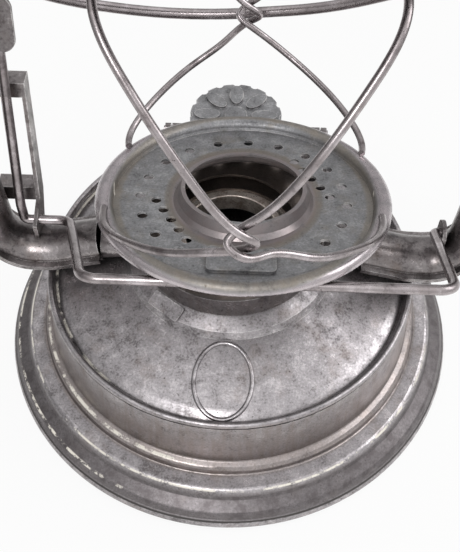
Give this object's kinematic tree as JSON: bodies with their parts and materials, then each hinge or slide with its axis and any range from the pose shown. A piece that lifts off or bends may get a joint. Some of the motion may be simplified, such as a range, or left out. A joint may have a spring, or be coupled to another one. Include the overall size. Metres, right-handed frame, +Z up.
{
  "type": "tubular oil lantern",
  "caption": "Small tubular oil lantern of tinned steel: oil tank, side tubes, hinged globe plate with wire guard, lift lever and bail; globe and burner out.",
  "frame": {"origin": "centre of the foot on the ground", "axes": "+Z up along the lantern's axis, -Y to the front where the lift wire's crossbar is, +X to the right seen from the front"},
  "size_m": [0.15, 0.128, 0.2516],
  "materials": {
    "worn_tinplate": "aged tinned steel, dull grey with pale deposits",
    "tarnished_tinplate": "darker tarnished tinned steel",
    "plate_tinplate": "pressed tinned steel with worn bright edges",
    "drawn_wire": "drawn steel wire, dull",
    "cork_gasket": "aged pressed cork"
  },
  "bodies": {
    "frame": {"air_chamber": "tarnished_tinplate", "bail_ear_left": "worn_tinplate", "bail_ear_right": "worn_tinplate", "burner_collar": "tarnished_tinplate", "crown": "worn_tinplate", "crown_lid": "worn_tinplate", "filler_neck": "worn_tinplate", "hinge_bracket_left": "tarnished_tinplate", "hinge_bracket_right": "tarnished_tinplate", "hinge_pins": "drawn_wire", "latch_bracket": "tarnished_tinplate", "left_tube_inner": "tarnished_tinplate", "left_tube_outer": "tarnished_tinplate", "neck_tab": "worn_tinplate", "pivot_bracket": "tarnished_tinplate", "right_tube_inner": "tarnished_tinplate", "right_tube_outer": "tarnished_tinplate", "tank_body": "worn_tinplate", "tank_floor": "worn_tinplate", "tank_top": "worn_tinplate"},
    "filler_cap": {"filler_cap": "tarnished_tinplate", "cap_gasket": "cork_gasket"},
    "lift": {"lift_wire": "drawn_wire", "thumb_tab": "tarnished_tinplate"},
    "plate": {"globe_plate": "plate_tinplate", "plate_pad": "plate_tinplate", "hinge_leaves": "tarnished_tinplate", "guard_wire_front_left": "drawn_wire", "guard_wire_front_right": "drawn_wire", "guard_wire_back_left": "drawn_wire", "guard_wire_back_right": "drawn_wire", "guard_ring": "drawn_wire"},
    "hood": {"hood": "worn_tinplate", "chimney": "worn_tinplate", "rain_cap": "worn_tinplate"},
    "lifting_ring": {"lifting_ring": "drawn_wire"},
    "bail": {"bail": "drawn_wire"}
  },
  "joints": [
    {"name": "lever_tilt", "type": "hinge", "parent": "frame", "child": "lift", "pos_m": [0, 0.0015, 0.0452], "axis": [1, 0, 0], "range_deg": [0, 26.7]},
    {"name": "plate_tilt", "type": "hinge", "parent": "frame", "child": "plate", "pos_m": [0, 0.0354, 0.0465], "axis": [1, 0, 0], "range_deg": [0, 13.4]},
    {"name": "hood_lift", "type": "slide", "parent": "frame", "child": "hood", "axis": [0, 0, 1], "range_m": [0, 0.012]},
    {"name": "ring_swing", "type": "hinge", "parent": "hood", "child": "lifting_ring", "pos_m": [0, 0, 0.2487], "axis": [0, -1, 0], "range_deg": [0, 150]},
    {"name": "bail_swing", "type": "hinge", "parent": "frame", "child": "bail", "pos_m": [0, 0, 0.172], "axis": [1, 0, 0], "range_deg": [0, 301]},
    {"name": "filler_cap_turn", "type": "hinge", "parent": "frame", "child": "filler_cap", "pos_m": [0, 0.0405, 0.045], "axis": [0, 0, 1], "continuous": true}
  ],
  "couplings": [
    {"joint": "plate_tilt", "follows": "lever_tilt", "ratio": 0.5018}
  ]
}
